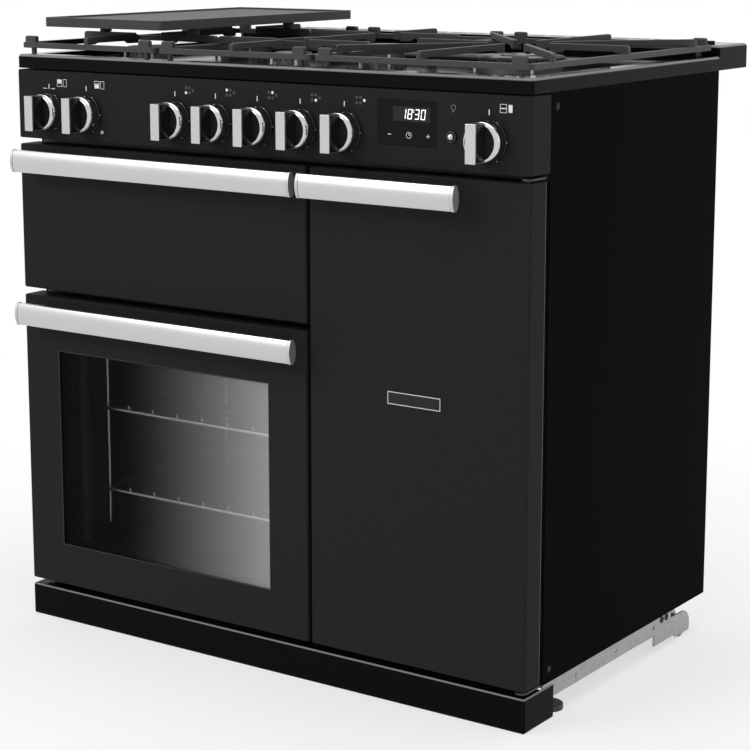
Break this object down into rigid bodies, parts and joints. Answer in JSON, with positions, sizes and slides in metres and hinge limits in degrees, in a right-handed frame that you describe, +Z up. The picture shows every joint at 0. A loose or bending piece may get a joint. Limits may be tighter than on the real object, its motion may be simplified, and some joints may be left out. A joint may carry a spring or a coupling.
{
  "type": "range cooker",
  "caption": "Freestanding range cooker with a gas hob, griddle plate, grill, glazed drop-down main oven and a tall side-hung oven.",
  "frame": {"origin": "on the floor, at the middle of the cooker's width and overall depth", "axes": "+X to the right as seen from the front, +Y to the rear, +Z up"},
  "size_m": [0.9, 0.6816, 0.933],
  "materials": {
    "painted_side": "fine satin black",
    "matte_black": "satin black",
    "gloss_enamel": "gloss black enamel",
    "enamel_inner": "dark speckled enamel",
    "galvanised": "galvanised",
    "steel": "plain steel",
    "roller_plastic": "moulded",
    "black_screw": "black zinc",
    "seal": "woven glass rope with a silicone coat",
    "satin_aluminium": "satin brushed",
    "oven_glass": "tinted",
    "display_black": "gloss",
    "dark_plastic": "moulded",
    "chrome": "polished",
    "lens": "clear",
    "cast_aluminium": "cast",
    "cap_enamel": "matt enamel",
    "ceramic": "glazed ceramic",
    "cast_iron": "textured matt enamel",
    "chrome_wire": "bright wire",
    "element": "dark oxidised sheath",
    "knob_black": "gloss with satin and chrome trim"
  },
  "bodies": {
    "cooker": {"side_panel_right": "painted_side", "side_panel_left": "painted_side", "front_frame": "enamel_inner", "base_tray": "galvanised", "rear_panel": "galvanised", "plinth": "gloss_enamel", "base_rails": "galvanised", "levelling_feet": "steel", "body_screws": "black_screw", "main_oven_cavity": "enamel_inner", "grill_cavity": "enamel_inner", "tall_oven_cavity": "enamel_inner", "door_seals": "seal", "door_hinges": "steel", "control_panel": "matte_black", "display_window": "display_black", "clock_module": "dark_plastic", "lenses": "lens", "control_spindles": "steel", "hob_tray": "gloss_enamel", "rear_vent_trim": "gloss_enamel", "burner_cups": "cast_aluminium", "flame_rings": "cast_aluminium", "burner_caps": "cap_enamel", "spark_electrodes": "ceramic", "shelf_ladders": "chrome_wire", "wire_racks": "chrome_wire", "grill_pan": "enamel_inner", "heating_elements": "element", "fan_motors": "steel", "fan_covers": "enamel_inner", "gas_pipes": "steel", "terminal_box": "dark_plastic"},
    "door_grill": {"grill_door_panel": "matte_black", "grill_door_liner": "enamel_inner", "grill_door_handle": "satin_aluminium"},
    "door_main": {"main_door_panel": "matte_black", "main_door_liner": "enamel_inner", "main_door_glass": "oven_glass", "main_door_handle": "satin_aluminium"},
    "door_tall": {"tall_door_panel": "matte_black", "tall_door_liner": "enamel_inner", "tall_door_handle": "satin_aluminium"},
    "pan_support_left": {"pan_support_left": "cast_iron"},
    "pan_support_centre": {"pan_support_centre": "cast_iron"},
    "pan_support_right": {"pan_support_right": "cast_iron"},
    "griddle": {"griddle_plate": "cast_iron"},
    "lamp_button": {"lamp_button": "chrome"},
    "roller_left": {"rear_roller_left": "roller_plastic"},
    "roller_right": {"rear_roller_right": "roller_plastic"},
    "fan_main": {"main_oven_fan": "steel"},
    "fan_tall": {"tall_oven_fan": "steel"},
    "knob_grill": {"knob_grill": "knob_black"},
    "knob_main_oven": {"knob_main_oven": "knob_black"},
    "knob_left_front": {"knob_left_front": "knob_black"},
    "knob_left_rear": {"knob_left_rear": "knob_black"},
    "knob_centre_rear": {"knob_centre_rear": "knob_black"},
    "knob_centre_front": {"knob_centre_front": "knob_black"},
    "knob_wok": {"knob_wok": "knob_black"},
    "knob_tall_oven": {"knob_tall_oven": "knob_black"}
  },
  "joints": [
    {"name": "door_grill_drop", "type": "hinge", "parent": "cooker", "child": "door_grill", "pos_m": [0, -0.28275, 0.5354], "axis": [1, 0, 0], "range_deg": [0, 90]},
    {"name": "door_main_drop", "type": "hinge", "parent": "cooker", "child": "door_main", "pos_m": [0, -0.28275, 0.0702], "axis": [1, 0, 0], "range_deg": [0, 90]},
    {"name": "door_tall_swing", "type": "hinge", "parent": "cooker", "child": "door_tall", "pos_m": [0.438, -0.28275, 0.0582], "axis": [0, 0, 1], "range_deg": [0, 100]},
    {"name": "griddle_lift", "type": "slide", "parent": "pan_support_left", "child": "griddle", "axis": [0, 0, 1], "range_m": [0, 0.06]},
    {"name": "pan_support_left_lift", "type": "slide", "parent": "cooker", "child": "pan_support_left", "axis": [0, 0, 1], "range_m": [0, 0.08]},
    {"name": "pan_support_centre_lift", "type": "slide", "parent": "cooker", "child": "pan_support_centre", "axis": [0, 0, 1], "range_m": [0, 0.08]},
    {"name": "pan_support_right_lift", "type": "slide", "parent": "cooker", "child": "pan_support_right", "axis": [0, 0, 1], "range_m": [0, 0.08]},
    {"name": "knob_grill_turn", "type": "hinge", "parent": "cooker", "child": "knob_grill", "pos_m": [-0.3865, -0.29475, 0.7959], "axis": [0, 1, 0], "range_deg": [-140, 140]},
    {"name": "knob_main_oven_turn", "type": "hinge", "parent": "cooker", "child": "knob_main_oven", "pos_m": [-0.3121, -0.29475, 0.7959], "axis": [0, 1, 0], "range_deg": [0, 270]},
    {"name": "knob_left_front_turn", "type": "hinge", "parent": "cooker", "child": "knob_left_front", "pos_m": [-0.1416, -0.29475, 0.7959], "axis": [0, -1, 0], "range_deg": [0, 240]},
    {"name": "knob_left_rear_turn", "type": "hinge", "parent": "cooker", "child": "knob_left_rear", "pos_m": [-0.0672, -0.29475, 0.7959], "axis": [0, -1, 0], "range_deg": [0, 240]},
    {"name": "knob_centre_rear_turn", "type": "hinge", "parent": "cooker", "child": "knob_centre_rear", "pos_m": [0.0072, -0.29475, 0.7959], "axis": [0, -1, 0], "range_deg": [0, 240]},
    {"name": "knob_centre_front_turn", "type": "hinge", "parent": "cooker", "child": "knob_centre_front", "pos_m": [0.0816, -0.29475, 0.7959], "axis": [0, -1, 0], "range_deg": [0, 240]},
    {"name": "knob_wok_turn", "type": "hinge", "parent": "cooker", "child": "knob_wok", "pos_m": [0.156, -0.29475, 0.7959], "axis": [0, -1, 0], "range_deg": [0, 240]},
    {"name": "knob_tall_oven_turn", "type": "hinge", "parent": "cooker", "child": "knob_tall_oven", "pos_m": [0.3854, -0.29475, 0.7959], "axis": [0, 1, 0], "range_deg": [0, 270]},
    {"name": "lamp_button_press", "type": "slide", "parent": "cooker", "child": "lamp_button", "axis": [0, 1, 0], "range_m": [0, 0.003], "stiffness_N_per_m": 300},
    {"name": "roller_left_spin", "type": "hinge", "parent": "cooker", "child": "roller_left", "pos_m": [-0.42, 0.18325, 0.017], "axis": [1, 0, 0], "continuous": true},
    {"name": "roller_right_spin", "type": "hinge", "parent": "cooker", "child": "roller_right", "pos_m": [0.42, 0.18325, 0.017], "axis": [1, 0, 0], "continuous": true},
    {"name": "fan_main_spin", "type": "hinge", "parent": "cooker", "child": "fan_main", "pos_m": [-0.1561, 0.13445, 0.2929], "axis": [0, 1, 0], "continuous": true},
    {"name": "fan_tall_spin", "type": "hinge", "parent": "cooker", "child": "fan_tall", "pos_m": [0.2729, 0.13445, 0.4874], "axis": [0, 1, 0], "continuous": true}
  ]
}
